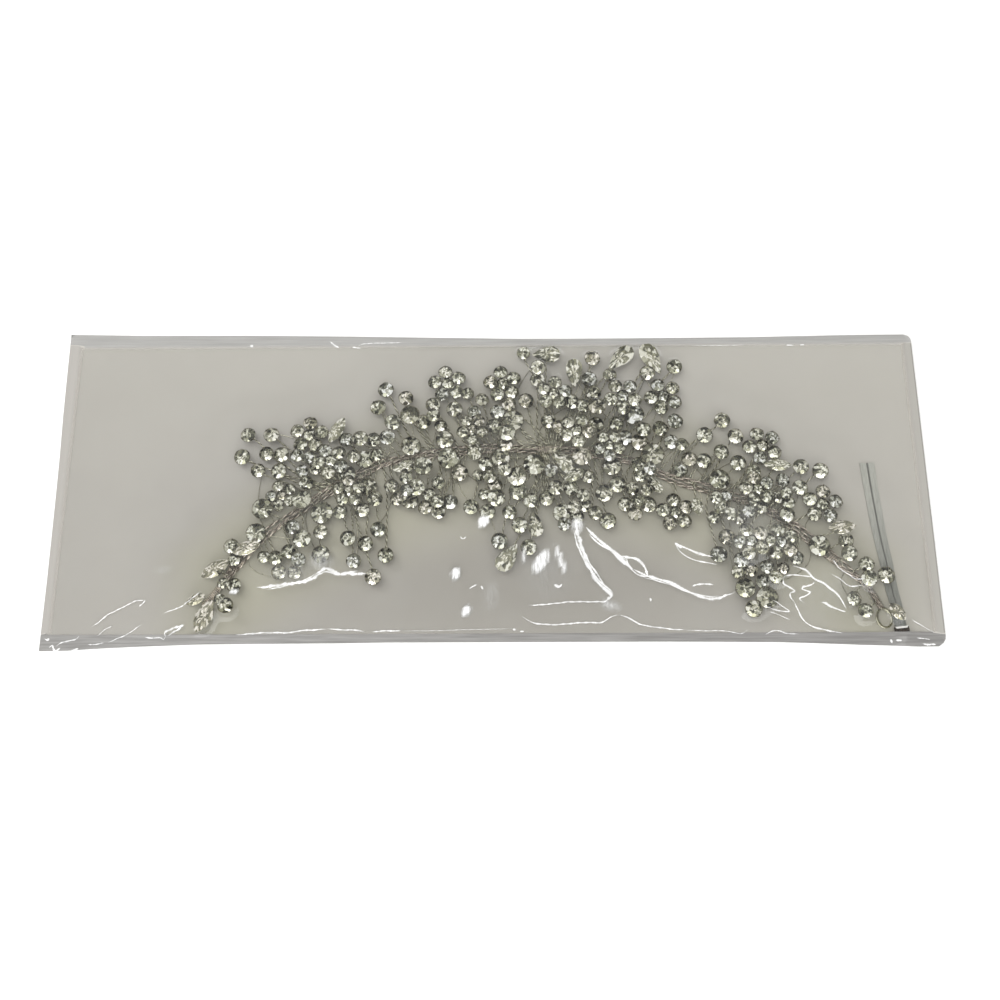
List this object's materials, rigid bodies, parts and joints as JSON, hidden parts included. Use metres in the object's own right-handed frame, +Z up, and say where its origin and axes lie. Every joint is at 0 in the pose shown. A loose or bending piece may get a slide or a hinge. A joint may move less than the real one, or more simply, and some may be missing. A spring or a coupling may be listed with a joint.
{
  "type": "rhinestone hair vine on a card in a clear sleeve",
  "caption": "A hair vine of clear round, boat and pear cut stones and stone flowers on twisted wire, lying on a plain card inside a clear wrinkled sleeve.",
  "frame": {"origin": "centre of the sleeve's flat underside, on the table", "axes": "+X along the card to the end with the ribbon, +Y to the card's back edge, +Z up"},
  "size_m": [0.406, 0.152, 0.016],
  "materials": {
    "crystal": "clear faceted stones with a silvery foil back in bright cups",
    "wire": "polished rose-brown plated wire",
    "card": "smooth matte pale beige board",
    "film": "thin clear crumpled plastic film with sharp glints",
    "ribbon": "soft grey satin",
    "crimp": "bright folded sheet metal"
  },
  "bodies": {
    "root": {"card": "card", "sleeve": "film", "wire_frame": "wire", "ribbon": "ribbon", "ribbon_crimp": "crimp", "flowers_left": "crystal", "flowers_middle": "crystal", "flowers_right": "crystal", "single_stones_left": "crystal", "single_stones_middle": "crystal", "single_stones_right": "crystal", "navette_1": "crystal", "navette_2": "crystal", "navette_3": "crystal", "navette_4": "crystal", "navette_5": "crystal", "navette_6": "crystal", "navette_7": "crystal", "navette_8": "crystal", "navette_9": "crystal", "navette_10": "crystal", "navette_11": "crystal", "navette_12": "crystal", "drop_1": "crystal", "drop_2": "crystal", "drop_3": "crystal", "drop_4": "crystal", "drop_5": "crystal", "drop_6": "crystal", "drop_7": "crystal", "drop_8": "crystal", "large_stone_1": "crystal", "large_stone_2": "crystal", "large_stone_3": "crystal", "large_stone_4": "crystal", "large_stone_5": "crystal", "large_stone_6": "crystal", "large_stone_7": "crystal", "large_stone_8": "crystal", "large_stone_9": "crystal", "large_stone_10": "crystal", "large_stone_11": "crystal", "large_stone_12": "crystal", "large_stone_13": "crystal", "large_stone_14": "crystal", "large_stone_15": "crystal", "large_stone_16": "crystal", "large_stone_17": "crystal", "large_stone_18": "crystal", "large_stone_19": "crystal"}
  },
  "joints": []
}
